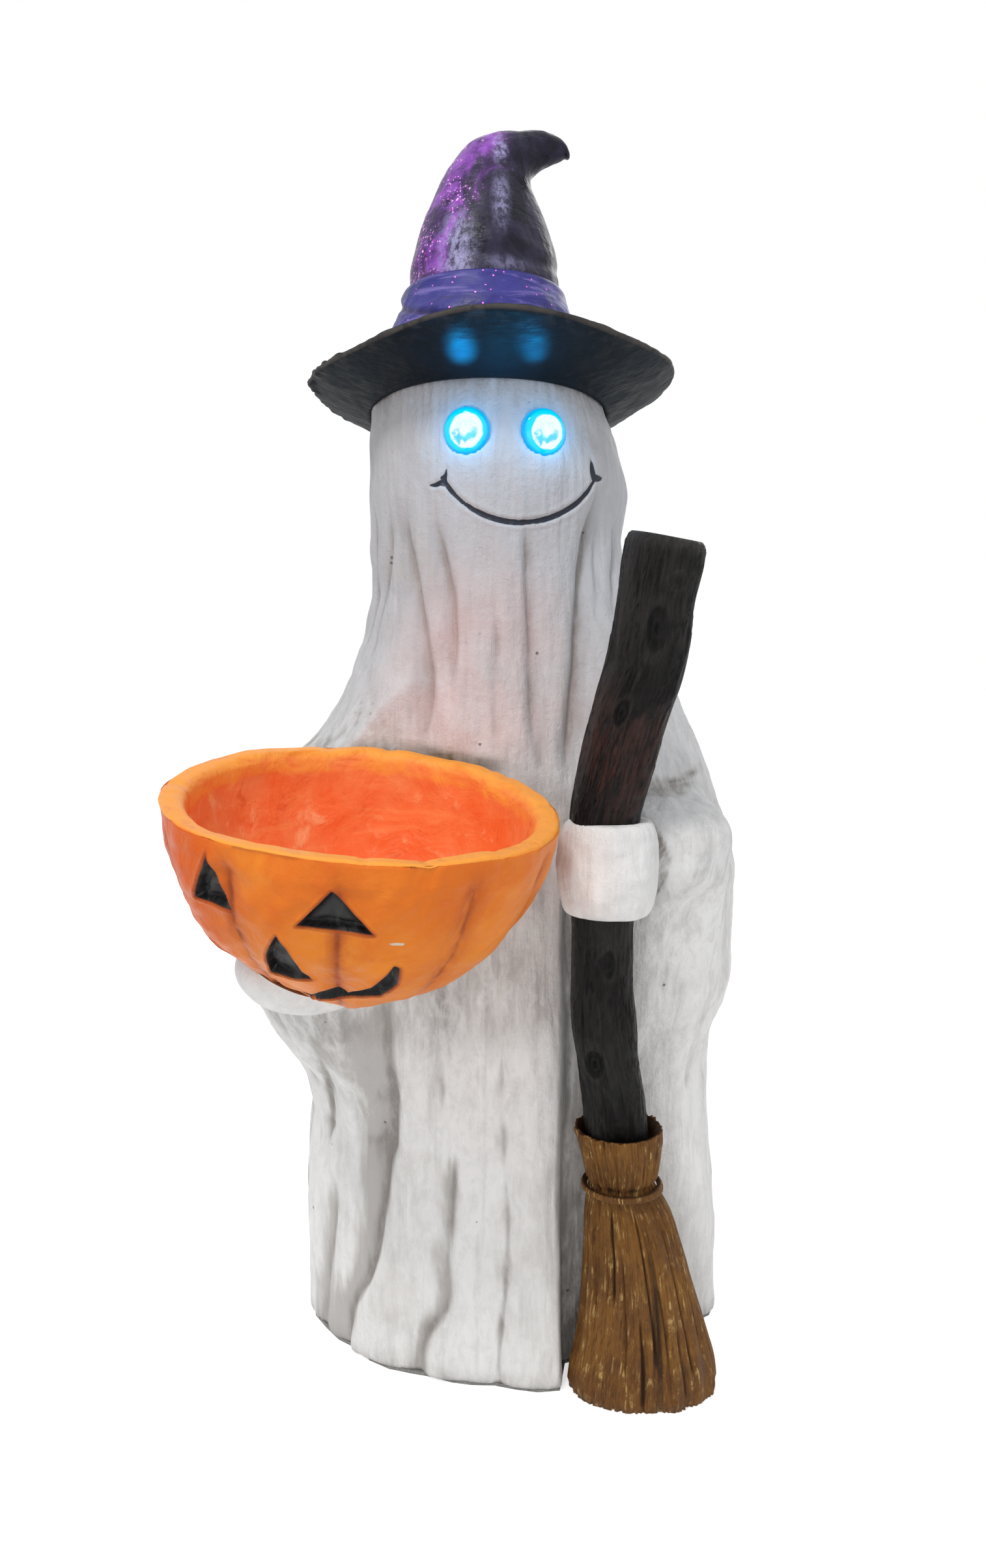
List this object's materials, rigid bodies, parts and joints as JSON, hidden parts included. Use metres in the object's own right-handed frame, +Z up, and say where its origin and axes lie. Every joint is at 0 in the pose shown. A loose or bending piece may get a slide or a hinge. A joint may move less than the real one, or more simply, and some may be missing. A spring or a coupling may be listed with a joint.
{
  "type": "ghost figure with treat bowl",
  "caption": "Standing cast ghost in a pointed hat with lit round eyes, holding a hollow half-pumpkin treat bowl and an upright broom; battery case under the base.",
  "frame": {"origin": "on the floor, on the underside of the base pad, under the middle of the robe", "axes": "+Z up, -Y towards the viewer (the side of the face), +X towards the broom"},
  "size_m": [0.2399, 0.2857, 0.5608],
  "materials": {
    "white_paint": "matte",
    "hat_black": "satin",
    "band_purple": "satin",
    "pumpkin_orange": "satin",
    "handle_brown": "satin",
    "brush_brown": "matte",
    "eye_lens_blue": "gloss",
    "black_plastic": "satin",
    "felt_pad": "matte",
    "base_board": "matte",
    "bright_metal": "satin",
    "cell_label": "gloss"
  },
  "bodies": {
    "figure": {"body_casting": "white_paint", "witch_hat": "hat_black", "hat_band": "band_purple", "pumpkin_bowl": "pumpkin_orange", "bowl_hand": "white_paint", "broom_hand": "white_paint", "broom_handle": "handle_brown", "broom_brush": "brush_brown", "broom_tie": "brush_brown", "left_eye_lens": "eye_lens_blue", "right_eye_lens": "eye_lens_blue", "left_lamp_holder": "black_plastic", "right_lamp_holder": "black_plastic", "left_eye_lamp": "eye_lens_blue", "right_eye_lamp": "eye_lens_blue", "left_lamp_lead": "black_plastic", "right_lamp_lead": "black_plastic", "base_pad": "felt_pad", "base_plate": "base_board", "battery_case": "black_plastic", "case_screw_1": "bright_metal", "case_screw_2": "bright_metal", "case_screw_3": "bright_metal", "case_screw_4": "bright_metal", "battery_cell_1": "cell_label", "battery_cell_2": "cell_label", "battery_cell_3": "cell_label", "contact_plus_1": "bright_metal", "contact_plus_2": "bright_metal", "contact_plus_3": "bright_metal", "contact_minus_1": "bright_metal", "contact_minus_2": "bright_metal", "contact_minus_3": "bright_metal", "contact_spring_1": "bright_metal", "contact_spring_2": "bright_metal", "contact_spring_3": "bright_metal", "switch_body": "black_plastic"},
    "battery_door": {"battery_door": "black_plastic"},
    "switch_knob": {"switch_knob": "bright_metal"}
  },
  "joints": [
    {"name": "battery_door_hinge", "type": "hinge", "parent": "figure", "child": "battery_door", "pos_m": [0, 0.05855, 0.0034], "axis": [1, 0, 0], "range_deg": [0, 95]},
    {"name": "power_switch_slide", "type": "slide", "parent": "figure", "child": "switch_knob", "axis": [1, 0, 0], "range_m": [0, 0.003]}
  ]
}
